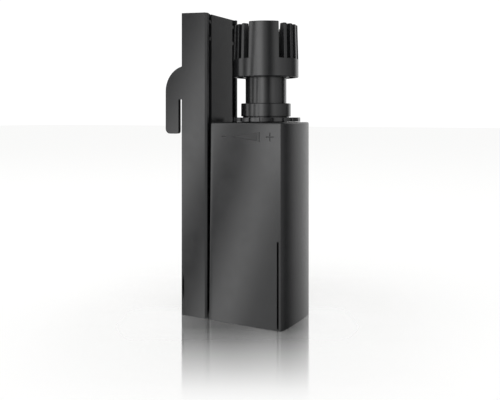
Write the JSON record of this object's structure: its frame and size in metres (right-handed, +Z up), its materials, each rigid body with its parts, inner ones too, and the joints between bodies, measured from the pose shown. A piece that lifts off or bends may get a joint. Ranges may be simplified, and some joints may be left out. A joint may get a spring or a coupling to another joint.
{
  "type": "internal power filter",
  "caption": "Submersible aquarium filter with a comb-shaped surface skimmer on a telescopic neck, a flow ring and a pump housing that slides in a hook-on holder.",
  "frame": {"origin": "middle of the outline's length and width, on the plane that the holder's feet and the housing's bottom share", "axes": "+X towards the rounded front face of the housing, -X towards the tank wall and the hooks, -Y out of the face with the flow scale, +Z up"},
  "size_m": [0.0882, 0.0452, 0.2009],
  "materials": {
    "black_plastic": "satin",
    "grey_plastic": "satin",
    "black_rubber": "matte",
    "sponge_foam": "matte",
    "steel": "satin",
    "copper": "satin",
    "ferrite": "matte",
    "ceramic": "satin"
  },
  "bodies": {
    "holder": {"holder_channel": "black_plastic", "suction_cup_right": "black_rubber", "suction_cup_left": "black_rubber"},
    "pump_unit": {"guide_rail": "black_plastic", "housing_shell": "black_plastic", "rail_screw_1": "steel", "rail_screw_2": "steel", "port_plate": "grey_plastic", "filter_sponge": "sponge_foam", "sponge_grid": "black_plastic", "cable_gland": "black_rubber", "gland_nut": "grey_plastic"},
    "regulator": {"regulator_ring": "black_plastic", "throttle_sleeve": "black_plastic", "tube_seal": "black_rubber"},
    "skimmer_head": {"neck_tube": "black_plastic", "skimmer_comb": "black_plastic", "head_floor": "black_plastic"},
    "pump_cartridge": {"bottom_cover": "black_plastic", "motor_casing": "black_plastic", "motor_base_cap": "grey_plastic", "stator_core": "steel", "coil_bobbin": "grey_plastic", "coil_winding": "copper", "damping_foot_1": "black_rubber", "damping_foot_2": "black_rubber", "damping_foot_3": "black_rubber", "damping_foot_4": "black_rubber", "volute_cover": "grey_plastic", "chamber_seal": "black_rubber", "outlet_baffle": "black_plastic", "bush_lower": "ceramic", "bush_upper": "ceramic", "rotor_shaft": "ceramic"},
    "rotor": {"rotor_magnet": "ferrite", "impeller": "grey_plastic"}
  },
  "joints": [
    {"name": "holder_slide", "type": "slide", "parent": "holder", "child": "pump_unit", "axis": [0, 0, -1], "range_m": [0, 0.177]},
    {"name": "regulator_turn", "type": "hinge", "parent": "pump_unit", "child": "regulator", "pos_m": [0.0209, 0, 0.13], "axis": [0, 0, 1], "range_deg": [-40, 40]},
    {"name": "head_slide", "type": "slide", "parent": "regulator", "child": "skimmer_head", "axis": [0, 0, 1], "range_m": [-0.0167, 0.0117]},
    {"name": "cartridge_pull", "type": "slide", "parent": "pump_unit", "child": "pump_cartridge", "axis": [0, 0, -1], "range_m": [0, 0.06]},
    {"name": "rotor_spin", "type": "hinge", "parent": "pump_cartridge", "child": "rotor", "pos_m": [0.0184, 0, 0.026], "axis": [0, 0, 1], "continuous": true}
  ]
}
